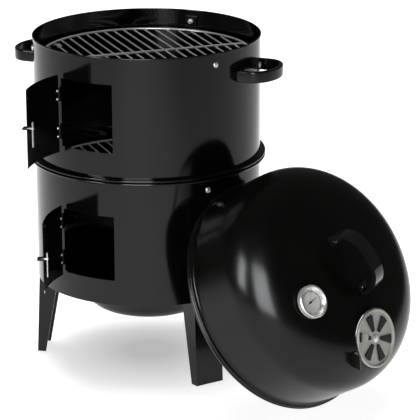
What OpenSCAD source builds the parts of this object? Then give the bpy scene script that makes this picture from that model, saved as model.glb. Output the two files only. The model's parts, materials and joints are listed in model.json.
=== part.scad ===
// Vertical water smoker: two stacked barrel sections on three legs, with the domed lid
// leaning beside them. Millimetres, +Z up, origin on the floor under the barrel's axis.
// The doors face -Y. Angles round the barrel are counted from -Y towards +X.

/* [Barrel] */
// Outer radius of both barrel sections
wall_r = 200; // [190:1:210]
// Thickness of the barrel's sheet
wall_t = 1.2; // [1:0.1:2]
// Height of the barrel's top rim above the floor
top_z = 594; // [585:1:605]
// Height of the face where the two sections meet
joint_z = 378; // [374:1:382]
// Height of the barrel's lower edge above the floor
base_z = 154; // [145:1:160]
// Radius of the two beads at the joint
bead_r = 209.6; // [206:0.2:212]
// Turn of the legs and of the lower brackets about the barrel
leg_turn = -0.8; // [-4:0.2:4]
// Turn of the handles and of the upper brackets about the barrel
fit_turn = 8; // [4:1:10]

/* [Doors] */
// Width of each door opening
opening_w = 103.6; // [96:0.4:104]
// Height of the upper door opening
upper_opening_h = 120; // [105:1:122]
// Height of the lower door opening
lower_opening_h = 115; // [105:1:117]
// Height of the upper door panel
upper_door_h = 137; // [130:1:139]
// Height of the lower door panel
lower_door_h = 127; // [122:1:129]
// Height of the upper door's middle above the floor
upper_door_z = 485; // [480:1:488]
// Height of the lower door's middle above the floor
lower_door_z = 257; // [254:1:262]
// How far the upper door stands open, in degrees
upper_open = 84.8; // [0:0.1:100]
// How far the lower door stands open, in degrees
lower_open = 73.5; // [0:0.1:100]

/* [Legs] */
// Width of a leg's flat face
leg_w = 54; // [40:1:54]
// Depth of a leg's flange at the foot
leg_foot_d = 15; // [12:1:24]
// Depth of a leg's flange where it enters the barrel
leg_top_d = 36; // [28:1:38]
// Outward splay of the legs, in degrees
leg_splay = 2.6; // [2.4:0.1:3]

/* [Grates and pans] */
// Radius of the grate's ring at the middle of its wire
grate_r = 184; // [180:1:186]
// Distance between the grate's bars
bar_pitch = 18.6; // [16:0.2:22]
// Height of the upper grate's ring above the floor
upper_grate_z = 558.7; // [556:0.1:562]
// Height of the lower grate's ring above the floor
lower_grate_z = 350.7; // [348:0.1:352]
// Depth of the water pan
water_pan_d = 66; // [50:1:70]
// Depth of the charcoal pan
fire_pan_d = 100; // [85:1:105]

/* [Lid] */
// Outer radius of the lid's skirt
lid_r = 198; // [196:0.5:199]
// Height of the lid's straight skirt above its rim
lid_skirt = 90.5; // [85:0.5:98]
// Tilt of the lid's own axis above level as it leans on the barrel
lid_tilt = 30.5; // [26:0.5:32]
// Direction that the leaning lid's dome faces
lid_face = 78.5; // [70:0.5:90]
// Direction in which the lid stands from the barrel
lid_at = 79.4; // [70:0.1:90]
// Height of the lid's handle above its crown
lid_grip_h = 55; // [50:1:70]

/* [Hidden] */
$fn = 96;
eps = 0.01;
wall_in = wall_r - wall_t;
leg_spread = 64;
leg_angles = [leg_turn - leg_spread, leg_turn + leg_spread, leg_turn + 180];
upper_angles = [fit_turn - 60, fit_turn + 60, fit_turn + 180];
handle_angles = [fit_turn - 90, fit_turn + 90];
seam_gap = 0.3;
rim_r = wall_r + 1.6;
bolt_r = 2.5;
bolt_hole_r = 2.6;
head_r = 5;
head_h = 2.6;
nut_h = 3.6;
nut_af = 8;
bolt_shank = 11;
leg_bolt_shank = 14;

// Leg
leg_t = 2;
leg_flare = 5.7;
leg_tip_d = 26;
leg_foot_r = 203.8;
leg_top_z = 184;
leg_bolt_z = [164, 177];
leg_nut_r = 194.1;
fire_bracket_r = 193.4;

// Brackets
bracket_w = 22;
bracket_t = 2;
bracket_face_r = 198.3;
upper_bolt_z = top_z - 21;
lower_bolt_z = 355;
wire_r = 2;
bar_r = 1.5;
cross_r = 2.2;
bar_turn = 50.9;
bar_drop = wire_r + bar_r - 0.5;
upper_ledge_z = upper_grate_z - bar_drop - bar_r - 0.2;
lower_ledge_z = lower_grate_z - bar_drop - bar_r - 0.2;
pan_ledge_z = 330;
fire_ledge_z = 193;
ledge_in_r = 178;
pan_ledge_in_r = 169.5;
fire_ledge_in_r = 168;
rest_gap = 0.3;
pan_t = 1;
water_pan_r = 168;
water_pan_low_r = 148;
water_pan_rim = 7.5;
water_pan_corner = 22;
fire_pan_r = 165;
fire_pan_low_r = 118.6;
fire_pan_rim = 24.2;
fire_pan_corner = 37;

// Hinges and doors
pin_a = -15.8;
pin_ring_r = 203.4;
pin_r = 1.5;
pin_bore_r = 1.55;
knuckle_r = 3;
leaf_t = 1.2;
leaf_h = 26;
knuckle_end_h = 7;
knuckle_gap = 0.25;
hinge_dz = 33;
door_in_r = wall_r + 0.4;
door_t = 1;
door_out_r = door_in_r + door_t;
door_from = -14.85;
door_to = 18.2;
leaf_span = 14;
rivet_dz = 7.3;
rivet_r = 2.3;
deg_mm = wall_r * PI / 180;
rivet_shank_r = 1.4;
rivet_a = pin_a + 0.42 * leaf_span / deg_mm;
fixed_rivet_a = pin_a - 0.68 * leaf_span / deg_mm;
upper_opening_dz = 1.5;
lower_opening_dz = -1;
pin_x = pin_ring_r * sin(pin_a);
pin_y = -pin_ring_r * cos(pin_a);

// Latches
latch_a = 13.4;
latch_dz = -2.5;
latch_plate_r = 195.8;
latch_plate_t = 1.5;
latch_plate_w = 6;
latch_up = 11;
latch_down = 32;
latch_shaft_r = 2;
latch_knob_r = 4;
knob_boss_h = 3.5;
knob_w = 12;
knob_t = 3.6;
knob_h = 10.3;

// Side handles
strap_h = 20;
strap_d = 7;
strap_t = 1.6;
grip_reach = 52;
grip_straight = 15;
foot_from = 9.4;
foot_to = 15.8;
handle_z = 544;
handle_bolt_a = 11.8;
foot_y = wall_r * sin(foot_to);
foot_x = wall_r * cos(foot_to) - wall_r - 1;
foot_end = foot_to - 0.25;
foot_h = strap_h - 0.6;

// Lid
lid_t = 1;
lid_shoulder = lid_r * 0.415;
lid_rim_r = 203.5;
lid_crown_r = 1000;
lid_steps = 16;
cutter = 40;
shoulder_x = lid_r - lid_shoulder;
crown_a = asin(shoulder_x / (lid_crown_r - lid_shoulder));
crown_c = lid_skirt - (lid_crown_r - lid_shoulder) * cos(crown_a);
grip_a = 104.3;
lid_grip_half = 54;
lid_strap_w = 24;
lid_foot_len = 15;
lid_bead_z = 1.6;
lid_z = lid_rim_r * cos(lid_tilt) - lid_bead_z * sin(lid_tilt);
lid_gap = -0.1;
lid_dist = wall_r + lid_gap + lid_rim_r * sin(lid_tilt);

// Vent, thermometer and hook on the lid
vent_a = -88.2;
vent_at_r = 130.9;
vent_tilt = 19.4;
vent_z = 165.8;
vent_r = 49.8;
vent_seat_r = 51.2;
vent_seat_depth = 22;
vent_hole_r = 2.6;
vent_rivet_r = 2.55;
vent_rivet_head_r = 7;
vent_rim_h = 4.5;
vent_t = 1.2;
vent_lift = 0.35;
petals = 6;
petal_in = 13;
petal_out = 39.5;
petal_half = 11.5;
petal_turn = 12;
tab_a = -108;
tab_r = 38.5;
tab_h = 16;
gauge_a = -162.7;
gauge_at_r = 123;
needle_a = 180;
gauge_r = 27.5;
gauge_hole_r = 4.6;
probe_r = 2.2;
probe_tip = -62;
gauge_h = 14;
dial_r = 19;
hook_a = -109.9;
hook_at_r = 159.6;
hook_turn = 112;
hook_w = 25;
hook_t = 2;
hook_h = 20;
hook_foot = 12;
hook_lip = 3.5;

// Placement helpers ----------------------------------------------------------

// Puts a child that is drawn at the -Y side at an angle round the barrel
module at_angle(a) {
    rotate([0, 0, a]) children();
}

// A child drawn along +Z, laid along the outward direction at an angle and height
module outward(a, r, z) {
    rotate([0, 0, a]) translate([0, -r, z]) rotate([90, 0, 0]) children();
}

// The lid's own frame: +Z out through the crown, origin in the rim's plane
module lid_frame() {
    at_angle(lid_at) translate([0, -lid_dist, lid_z]) rotate([0, 0, lid_face - lid_at])
        rotate([90 - lid_tilt, 0, 0]) children();
}

// A point on the dome in the lid's frame, turned to face outward and tilted off the axis
module on_dome(a, r, z, tilt) {
    rotate([0, 0, a]) translate([r, 0, z]) rotate([0, tilt, 0]) children();
}

// A door and what it carries, drawn closed and swung open about its hinge pin
module swung(open_a) {
    translate([pin_x, pin_y, 0]) rotate([0, 0, -open_a]) translate([-pin_x, -pin_y, 0])
        children();
}

// Shared shapes --------------------------------------------------------------

// A sector of a tube, drawn from angle a0 to a1 round the barrel
module sector(r_in, r_out, a0, a1, h) {
    rotate([0, 0, a0 - 90]) rotate_extrude(angle = a1 - a0)
        translate([r_in, 0]) square([r_out - r_in, h]);
}

function arc(cx, cy, r, a0, a1, n) =
    [for (i = [0:n]) [cx + r * cos(a0 + (a1 - a0) * i / n), cy + r * sin(a0 + (a1 - a0) * i / n)]];

module hex_nut(r_hole) {
    difference() {
        cylinder(h = nut_h, r = nut_af / 2 / cos(30), $fn = 6);
        translate([0, 0, -1]) cylinder(h = nut_h + 2, r = r_hole, $fn = 32);
    }
}

// A domed bolt head on its shank; the shank runs down from the head's seat
module dome_bolt(shank) {
    translate([0, 0, -shank]) cylinder(h = shank + eps, r = bolt_r, $fn = 32);
    rotate_extrude($fn = 32)
        polygon(concat([[0, 0], [head_r, 0]],
            [for (i = [0:6]) [head_r * cos(i * 15), 0.3 + (head_h - 0.3) * sin(i * 15)]]));
}

module bolt_holes(angles, z) {
    for (a = angles) outward(a, wall_in - 6, z) cylinder(h = 20, r = bolt_hole_r, $fn = 32);
}

module bolts_at(angles, z, shank) {
    for (a = angles) outward(a, wall_r + 0.02, z) dome_bolt(shank);
}

module nuts_at(angles, z, seat_r) {
    for (a = angles) outward(a, seat_r - nut_h, z) hex_nut(bolt_r);
}

module door_opening(z, h) {
    translate([-opening_w / 2, -wall_r - 20, z - h / 2]) cube([opening_w, 60, h]);
}

// Barrel ---------------------------------------------------------------------

module lower_section() {
    color("#1c1c1d") difference() {
        rotate_extrude($fn = 180) polygon(concat(
            [[wall_in, base_z], [wall_r, base_z], [wall_r, joint_z - 5.2]],
            arc(bead_r - 2.4, joint_z - 2.8, 2.4, -90, 80, 8),
            [[wall_in, joint_z - seam_gap / 2]]));
        door_opening(lower_door_z + lower_opening_dz, lower_opening_h);
        bolt_holes(leg_angles, lower_bolt_z);
        for (z = leg_bolt_z) bolt_holes(leg_angles, z);
    }
}

module locating_collar() {
    color("#151515") rotate_extrude($fn = 180)
        polygon([[wall_in - 1.2, joint_z - 16], [wall_in, joint_z - 16], [wall_in, joint_z - 4],
            [wall_in - 0.6, joint_z - 2], [wall_in - 0.6, joint_z + 12],
            [wall_in - 1.8, joint_z + 12], [wall_in - 1.8, joint_z - 3]]);
}

module upper_section() {
    color("#1c1c1d") difference() {
        rotate_extrude($fn = 180) polygon(concat(
            [[wall_in, joint_z + seam_gap / 2]],
            arc(bead_r - 2.4, joint_z + 2.8, 2.4, -80, 90, 8),
            [[wall_r, joint_z + 5.2], [wall_r, top_z - 3.4]],
            arc(rim_r - 1.5, top_z - 1.6, 1.5, -60, 90, 6),
            [[wall_in, top_z - 0.1]]));
        door_opening(upper_door_z + upper_opening_dz, upper_opening_h);
        bolt_holes(upper_angles, upper_bolt_z);
        for (s = [-1, 1])
            bolt_holes([for (a = handle_angles) a + s * handle_bolt_a], handle_z);
    }
}

// Legs -----------------------------------------------------------------------

// An open channel of bent sheet, drawn upright: flat face outward, flanges flared and tapered
module leg_channel() {
    flange = leg_top_d / cos(leg_flare);
    below = 10;
    intersection() {
        translate([0, 0, -below]) linear_extrude(height = leg_top_z + below) {
            translate([-leg_w / 2, 0]) square([leg_w, leg_t]);
            for (s = [-1, 1])
                translate([s * leg_w / 2, 0]) rotate(-s * leg_flare)
                    translate([s > 0 ? -leg_t : 0, 0]) square([leg_t, flange]);
        }
        rotate([0, 90, 0]) linear_extrude(height = 3 * leg_w, center = true)
            polygon([[below + 1, -1], [below + 1, leg_foot_d], [0, leg_foot_d], [-base_z, leg_top_d],
                [-leg_top_z - 1, leg_tip_d], [-leg_top_z - 1, -1]]);
    }
}

// The channel splayed outward to its foot and cut level with the floor
module leg(a) {
    color("#202021") at_angle(a) difference() {
        translate([0, -leg_foot_r, 0]) rotate([-leg_splay, 0, 0]) leg_channel();
        translate([0, -leg_foot_r, -leg_w]) cube(2 * leg_w, center = true);
        for (z = leg_bolt_z)
            translate([0, -leg_foot_r + 20, z]) rotate([90, 0, 0])
                cylinder(h = 20, r = bolt_hole_r, $fn = 32);
    }
}

module leg_left() { leg(leg_angles[0]); }
module leg_right() { leg(leg_angles[1]); }
module leg_back() { leg(leg_angles[2]); }

// Brackets -------------------------------------------------------------------

// An upright strip against the wall with ledges bent inward; ledges = [[height, inner radius], ...]
module bracket(a, z0, z1, ledges, hole_z, face_r) {
    color("#1a1a1a") at_angle(a) difference() {
        union() {
            translate([-bracket_w / 2, -face_r, z0]) cube([bracket_w, bracket_t, z1 - z0]);
            for (l = ledges)
                translate([-bracket_w / 2, -face_r, l[0] - bracket_t])
                    cube([bracket_w, face_r - l[1], bracket_t]);
        }
        translate([0, -face_r + 5, hole_z]) rotate([90, 0, 0])
            cylinder(h = 10, r = bolt_hole_r, $fn = 32);
    }
}

module upper_bracket(a) {
    bracket(a, upper_ledge_z - bracket_t, upper_bolt_z + 9, [[upper_ledge_z, ledge_in_r]],
        upper_bolt_z, bracket_face_r);
}

module lower_bracket(a) {
    bracket(a, pan_ledge_z - bracket_t, lower_bolt_z + 7,
        [[lower_ledge_z, ledge_in_r], [pan_ledge_z, pan_ledge_in_r]],
        lower_bolt_z, bracket_face_r);
}

module upper_bracket_left() { upper_bracket(upper_angles[0]); }
module upper_bracket_right() { upper_bracket(upper_angles[1]); }
module upper_bracket_back() { upper_bracket(upper_angles[2]); }
module lower_bracket_left() { lower_bracket(leg_angles[0]); }
module lower_bracket_right() { lower_bracket(leg_angles[1]); }
module lower_bracket_back() { lower_bracket(leg_angles[2]); }

// The charcoal pan's three shelves, held by each leg's upper bolt inside its channel
module fire_brackets() {
    for (a = leg_angles)
        bracket(a, leg_bolt_z[1] - 7, fire_ledge_z, [[fire_ledge_z, fire_ledge_in_r]],
            leg_bolt_z[1], fire_bracket_r);
}

// Fasteners ------------------------------------------------------------------

module lower_bolts() {
    color("#c9c9c4") {
        bolts_at(leg_angles, lower_bolt_z, bolt_shank);
        for (z = leg_bolt_z) bolts_at(leg_angles, z, leg_bolt_shank);
    }
}

module lower_nuts() {
    color("#b5b5b0") {
        nuts_at(leg_angles, lower_bolt_z, bracket_face_r - bracket_t);
        nuts_at(leg_angles, leg_bolt_z[0], leg_nut_r);
        nuts_at(leg_angles, leg_bolt_z[1], fire_bracket_r - bracket_t);
    }
}

// The handles' feet lie against the wall, so their bolt heads sit on the strap
module upper_bolts() {
    color("#c9c9c4") {
        bolts_at(upper_angles, upper_bolt_z, bolt_shank);
        for (h = handle_angles, s = [-1, 1])
            outward(h + s * handle_bolt_a, wall_r + strap_t + 0.2, handle_z) dome_bolt(bolt_shank);
    }
}

module upper_nuts() {
    color("#b5b5b0") {
        nuts_at(upper_angles, upper_bolt_z, bracket_face_r - bracket_t);
        for (h = handle_angles, s = [-1, 1])
            nuts_at([h + s * handle_bolt_a], handle_z, wall_in - 0.15);
    }
}

// Hinges ---------------------------------------------------------------------

module knuckle(z, h, bore) {
    translate([pin_x, pin_y, z]) difference() {
        cylinder(h = h, r = knuckle_r, $fn = 48);
        translate([0, 0, -1]) cylinder(h = h + 2, r = bore, $fn = 32);
    }
}

module at_hinges(door_z) {
    for (s = [-1, 1]) translate([0, 0, door_z + s * hinge_dz]) children();
}

module rivet_head(a, r, z, out) {
    outward(a, r, z) rotate([out ? 0 : 180, 0, 0]) intersection() {
        cylinder(h = 1.3, r = rivet_r, $fn = 24);
        translate([0, 0, -1.5]) sphere(r = 2.8, $fn = 24);
    }
}

// The leaf on the barrel, with the two end knuckles and its rivet heads
module hinge_fixed(door_z) {
    color("#232323") at_hinges(door_z) {
        difference() {
            sector(wall_r + 0.02, wall_r + leaf_t, pin_a - leaf_span / deg_mm, pin_a - 0.15,
                leaf_h);
            translate([pin_x, pin_y, knuckle_end_h])
                cylinder(h = leaf_h - 2 * knuckle_end_h, r = knuckle_r + 0.4);
            translate([pin_x, pin_y, -1]) cylinder(h = leaf_h + 2, r = pin_bore_r, $fn = 32);
        }
        knuckle(0, knuckle_end_h, pin_r);
        knuckle(leaf_h - knuckle_end_h, knuckle_end_h, pin_r);
        for (s = [-1, 1])
            rivet_head(fixed_rivet_a, wall_r + leaf_t - 0.05, leaf_h / 2 + s * rivet_dz, true);
    }
}

module hinge_pins(door_z) {
    color("#a9a9a4") at_hinges(door_z) translate([pin_x, pin_y, -1])
        cylinder(h = leaf_h + 2, r = pin_r, $fn = 32);
}

// The leaf on the door, with the middle knuckle
module hinge_moving(door_z) {
    mid_h = leaf_h - 2 * knuckle_end_h - 2 * knuckle_gap;
    color("#232323") at_hinges(door_z) {
        difference() {
            sector(door_out_r, door_out_r + leaf_t, pin_a + 0.15, pin_a + leaf_span / deg_mm,
                leaf_h);
            for (z = [-1, leaf_h - knuckle_end_h - knuckle_gap])
                translate([pin_x, pin_y, z])
                    cylinder(h = knuckle_end_h + knuckle_gap + 1, r = knuckle_r + 0.4);
            translate([pin_x, pin_y, -1]) cylinder(h = leaf_h + 2, r = pin_bore_r, $fn = 32);
            for (s = [-1, 1])
                outward(rivet_a, door_in_r, leaf_h / 2 + s * rivet_dz)
                    cylinder(h = 8, r = rivet_shank_r, $fn = 24);
        }
        knuckle(knuckle_end_h + knuckle_gap, mid_h, pin_bore_r);
    }
}

module door_rivets(door_z) {
    color("#d2d2cc") at_hinges(door_z) for (s = [-1, 1]) {
        z = leaf_h / 2 + s * rivet_dz;
        outward(rivet_a, door_in_r - 0.1, z)
            cylinder(h = door_t + leaf_t + 0.2, r = rivet_shank_r, $fn = 24);
        rivet_head(rivet_a, door_in_r - 0.03, z, false);
        rivet_head(rivet_a, door_out_r + leaf_t + 0.01, z, true);
    }
}

module door_panel(door_z, h) {
    color("#1b1b1c") difference() {
        translate([0, 0, door_z - h / 2]) sector(door_in_r, door_out_r, door_from, door_to, h);
        outward(latch_a, door_in_r - 3, door_z + latch_dz)
            cylinder(h = 8, r = latch_shaft_r + 0.05, $fn = 32);
        for (s = [-1, 1], t = [-1, 1])
            outward(rivet_a, door_in_r - 3, door_z + s * hinge_dz + t * rivet_dz)
                cylinder(h = 8, r = rivet_shank_r, $fn = 24);
    }
}

// Latches --------------------------------------------------------------------

module latch_shaft(door_z) {
    color("#b9b9b3") outward(latch_a, latch_plate_r - latch_plate_t - 1, door_z + latch_dz)
        cylinder(h = door_out_r - latch_plate_r + latch_plate_t + 5, r = latch_shaft_r, $fn = 32);
}

// A round boss with a thumb blade across it
module latch_knob(door_z) {
    color("#1d1d1d") outward(latch_a, door_out_r + 0.3, door_z + latch_dz) difference() {
        union() {
            cylinder(h = knob_boss_h, r = latch_knob_r, $fn = 48);
            translate([-knob_w / 2, -knob_t / 2, knob_boss_h - 0.5])
                cube([knob_w, knob_t, knob_h - knob_boss_h + 0.5]);
        }
        translate([0, 0, -1]) cylinder(h = 4.7, r = latch_shaft_r, $fn = 32);
    }
}

module latch_plate(door_z) {
    color("#d6d6d0") outward(latch_a, latch_plate_r - latch_plate_t, door_z + latch_dz)
        difference() {
            translate([-latch_plate_w / 2, -latch_down, 0])
                cube([latch_plate_w, latch_down + latch_up, latch_plate_t]);
            translate([0, 0, -1]) cylinder(h = 4, r = latch_shaft_r, $fn = 32);
        }
}

module lower_hinge_fixed() { translate([0, 0, -leaf_h / 2]) hinge_fixed(lower_door_z); }
module upper_hinge_fixed() { translate([0, 0, -leaf_h / 2]) hinge_fixed(upper_door_z); }
module lower_hinge_pins() { translate([0, 0, -leaf_h / 2]) hinge_pins(lower_door_z); }
module upper_hinge_pins() { translate([0, 0, -leaf_h / 2]) hinge_pins(upper_door_z); }
module lower_door() { swung(lower_open) door_panel(lower_door_z, lower_door_h); }
module upper_door() { swung(upper_open) door_panel(upper_door_z, upper_door_h); }
module lower_hinge_moving() {
    swung(lower_open) translate([0, 0, -leaf_h / 2]) hinge_moving(lower_door_z);
}
module upper_hinge_moving() {
    swung(upper_open) translate([0, 0, -leaf_h / 2]) hinge_moving(upper_door_z);
}
module lower_door_rivets() {
    swung(lower_open) translate([0, 0, -leaf_h / 2]) door_rivets(lower_door_z);
}
module upper_door_rivets() {
    swung(upper_open) translate([0, 0, -leaf_h / 2]) door_rivets(upper_door_z);
}
module lower_latch_shaft() { swung(lower_open) latch_shaft(lower_door_z); }
module upper_latch_shaft() { swung(upper_open) latch_shaft(upper_door_z); }
module lower_latch_knob() { swung(lower_open) latch_knob(lower_door_z); }
module upper_latch_knob() { swung(upper_open) latch_knob(upper_door_z); }
module lower_latch_plate() { swung(lower_open) latch_plate(lower_door_z); }
module upper_latch_plate() { swung(upper_open) latch_plate(upper_door_z); }

// Side handles ---------------------------------------------------------------

// Half of the grip's centre line in plan, from the wall out to the middle, d to its outside
function grip_half_path(d) = concat(
    [[foot_y + d, foot_x]],
    [for (t = [0:5:85])
        [(foot_y + d) * cos(t), grip_straight + (grip_reach - grip_straight + d) * sin(t)]],
    [[0, grip_reach + d]]);

function mirrored(p) = [for (i = [len(p) - 1:-1:0]) [-p[i][0], p[i][1]]];

function grip_outline(d_in, d_out) = concat(
    grip_half_path(d_out), mirrored(grip_half_path(d_out)),
    grip_half_path_back(d_in));

function grip_half_path_back(d) = concat(
    [for (p = grip_half_path(d)) [-p[0], p[1]]], mirrored([for (p = grip_half_path(d)) [-p[0], p[1]]]));

// A bow of channel strip with its two feet turned inward, flat along the wall
module side_handle(a) {
    color("#19191a") difference() {
        union() {
            rotate([0, 0, a]) translate([0, -wall_r, handle_z]) rotate([0, 0, 180]) difference() {
                translate([0, 0, -strap_h / 2]) linear_extrude(height = strap_h)
                    polygon(grip_outline(-strap_d, 0));
                translate([0, 0, -strap_h / 2 + strap_t]) linear_extrude(height = strap_h - 2 * strap_t)
                    polygon(grip_outline(-strap_d - 1, -strap_t));
            }
            for (s = [-1, 1])
                translate([0, 0, handle_z - foot_h / 2])
                    sector(wall_r - 2, wall_r + 0.1 + strap_t, a + s * (foot_from + foot_end) / 2
                        - (foot_end - foot_from) / 2, a + s * (foot_from + foot_end) / 2
                        + (foot_end - foot_from) / 2, foot_h);
        }
        translate([0, 0, handle_z - strap_h]) cylinder(h = 2 * strap_h, r = wall_r + 0.1, $fn = 180);
        for (s = [-1, 1])
            outward(a + s * handle_bolt_a, wall_r - 3, handle_z)
                cylinder(h = 12, r = bolt_hole_r, $fn = 32);
    }
}

module handle_left() { side_handle(handle_angles[0]); }
module handle_right() { side_handle(handle_angles[1]); }

// Grates and pans ------------------------------------------------------------

// Round wire ring and one cross wire, with parallel bars welded underneath them
module grate(z) {
    bars = floor(grate_r / bar_pitch);
    color("#c4c4be") translate([0, 0, z]) rotate([0, 0, bar_turn]) {
        rotate_extrude($fn = 120) translate([grate_r, 0]) circle(r = wire_r, $fn = 20);
        rotate([0, 90, 0]) cylinder(h = 2 * grate_r, r = cross_r, center = true, $fn = 20);
        for (i = [-bars:bars]) {
            x = i * bar_pitch;
            half = sqrt(grate_r * grate_r - x * x);
            translate([x, 0, -bar_drop]) rotate([90, 0, 0])
                cylinder(h = 2 * half, r = bar_r, center = true, $fn = 16);
        }
    }
}

module upper_grate() { grate(upper_grate_z); }
module lower_grate() { grate(lower_grate_z); }

// A pressed pan: a flat rim, a tapered side and a rounded corner into a flat bottom
module pan(z, depth, top_r, low_r, rim_w, corner, t) {
    slope = atan((top_r - low_r) / depth);
    translate([0, 0, z]) rotate_extrude($fn = 144) polygon(concat(
        [[0, -depth], [low_r - corner, -depth]],
        arc(low_r - corner, corner - depth, corner, -90, -slope, 6),
        [[top_r, -t], [top_r + rim_w, -t], [top_r + rim_w, 0], [top_r - t, 0]],
        arc(low_r - corner, corner - depth, corner - t, -slope, -90, 6),
        [[0, t - depth]]));
}

module water_pan() {
    color("#161617") pan(pan_ledge_z + rest_gap + pan_t, water_pan_d, water_pan_r,
        water_pan_low_r, water_pan_rim, water_pan_corner, pan_t);
}

module charcoal_pan() {
    color("#161617") pan(fire_ledge_z + rest_gap + pan_t, fire_pan_d, fire_pan_r,
        fire_pan_low_r, fire_pan_rim, fire_pan_corner, pan_t);
}

// Lid ------------------------------------------------------------------------

// Outline of the dome at distance d inside its outer surface
function dome_points(d) = concat(
    arc(shoulder_x, lid_skirt, lid_shoulder - d, 0, 90 - crown_a, lid_steps),
    [for (i = [lid_steps / 2 - 1:-1:0]) let (b = crown_a * i / (lid_steps / 2))
        [(lid_crown_r - d) * sin(b), crown_c + (lid_crown_r - d) * cos(b)]]);

// Height of the crown and of the shoulder above the rim at a distance r from the lid's axis
function crown_z(r) = crown_c + sqrt(pow(lid_crown_r, 2) - r * r);
function shoulder_z(r) = lid_skirt + sqrt(pow(lid_shoulder, 2) - pow(r - shoulder_x, 2));

// Skirt, double bead and dome as one solid of revolution, d inside the outer surface
module dome_solid(d) {
    bead = lid_rim_r - d;
    rotate_extrude($fn = 180) polygon(concat(
        [[0, -d * 4], [bead - 0.9, -d * 4], [bead - 0.9, 0.6], [bead, lid_bead_z], [bead, 3.8],
            [bead - 1.2, 5], [bead - 1.2, 6], [bead - 0.4, 7], [bead - 0.4, 9], [bead - 1.6, 10.6],
            [lid_r - d, 12.5]],
        dome_points(d)));
}

module at_vent() { on_dome(vent_a, vent_at_r, vent_z, vent_tilt) children(); }
module at_gauge() {
    on_dome(gauge_a, gauge_at_r, crown_z(gauge_at_r), asin(gauge_at_r / lid_crown_r)) children();
}

module petal_holes(h) {
    in_w = petal_in * tan(petal_half);
    out_w = petal_out * tan(petal_half);
    for (i = [0:petals - 1])
        rotate([0, 0, petal_turn + i * 360 / petals]) translate([0, 0, -h / 2])
            linear_extrude(height = h)
                polygon([[petal_in, -in_w], [petal_out, -out_w], [petal_out + 1.2, 0],
                    [petal_out, out_w], [petal_in, in_w]]);
}

// The pressed lid, with a flat seat for the vent and holes for what is fastened to it
module lid() {
    color("#121213") lid_frame() difference() {
        union() {
            difference() {
                dome_solid(0);
                at_vent() cylinder(h = cutter, r = vent_seat_r, $fn = 96);
            }
            at_vent() translate([0, 0, -vent_seat_depth])
                cylinder(h = vent_seat_depth, r = vent_seat_r, $fn = 96);
        }
        difference() {
            dome_solid(lid_t);
            at_vent() translate([0, 0, -lid_t]) cylinder(h = cutter, r = vent_seat_r + lid_t, $fn = 96);
        }
        at_vent() translate([0, 0, -cutter])
            cylinder(h = cutter - lid_t, r = vent_seat_r - lid_t, $fn = 96);
        at_vent() petal_holes(8 * lid_t);
        at_vent() cylinder(h = 10 * lid_t, r = vent_hole_r, center = true, $fn = 32);
        at_gauge() cylinder(h = cutter, r = gauge_hole_r, center = true, $fn = 48);
        for (s = [-1, 1]) at_grip_foot(s)
            cylinder(h = cutter / 2, r = bolt_hole_r, center = true, $fn = 32);
    }
}

// Height of the grip's feet, which just clear the crown at their inner ends
function grip_foot_z() = crown_z(lid_grip_half - lid_foot_len) + 0.1;

module at_grip_foot(s) {
    rotate([0, 0, grip_a])
        translate([s * (lid_grip_half - lid_foot_len / 2), 0, grip_foot_z()]) children();
}

// Points of the lid grip's arch, d outside its inner face
function arch_points(d, n) = [for (i = [0:n]) let (t = 180 * i / n)
    [(lid_grip_half + d) * sign(cos(t)) * pow(abs(cos(t)), 0.72),
        (lid_grip_h - 3 + d) * pow(sin(t), 0.8)]];

// An arch of channel strip with two feet turned inward along the crown
module lid_handle() {
    color("#161616") lid_frame() difference() {
        rotate([0, 0, grip_a]) translate([0, 0, grip_foot_z()]) rotate([90, 0, 0]) union() {
            difference() {
                translate([0, 0, -lid_strap_w / 2]) linear_extrude(height = lid_strap_w)
                    polygon(concat(arch_points(3, 28), reversed(arch_points(-3.5, 28))));
                translate([0, 0, -lid_strap_w / 2 + strap_t])
                    linear_extrude(height = lid_strap_w - 2 * strap_t)
                        polygon(concat(arch_points(3 - strap_t, 28), reversed(arch_points(-5, 28))));
            }
            for (s = [-1, 1])
                translate([s > 0 ? lid_grip_half - lid_foot_len : -lid_grip_half, 0, -lid_strap_w / 2])
                    cube([lid_foot_len, strap_t, lid_strap_w]);
        }
        for (s = [-1, 1]) at_grip_foot(s)
            cylinder(h = 6 * strap_t, r = bolt_hole_r, center = true, $fn = 32);
    }
}

function reversed(p) = [for (i = [len(p) - 1:-1:0]) p[i]];

module lid_handle_bolts() {
    color("#161616") lid_frame() for (s = [-1, 1])
        at_grip_foot(s) translate([0, 0, strap_t + 0.02]) dome_bolt(12);
}

module lid_handle_nuts() {
    color("#b5b5b0") lid_frame() for (s = [-1, 1])
        at_grip_foot(s) translate([0, 0, -nut_h - 2]) hex_nut(bolt_r);
}

// A bent tab beside the vent that hangs the lid on the barrel's rim
module lid_hook() {
    tilt = asin((hook_at_r - shoulder_x) / lid_shoulder);
    color("#1b1b1b") lid_frame() on_dome(hook_a, hook_at_r, shoulder_z(hook_at_r) + 0.05, tilt)
        rotate([0, 0, hook_turn]) translate([-hook_foot / 2, -hook_w / 2, 0]) {
            cube([hook_foot, hook_w, hook_t]);
            cube([hook_t, hook_w, hook_h]);
            translate([0, 0, hook_h - hook_t]) cube([hook_lip, hook_w, hook_t]);
            translate([hook_foot / 2 + hook_t, hook_w / 2, hook_t - eps])
                cylinder(h = 1.4, r1 = 3, r2 = 2, $fn = 32);
        }
}

// Vent -----------------------------------------------------------------------

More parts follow.
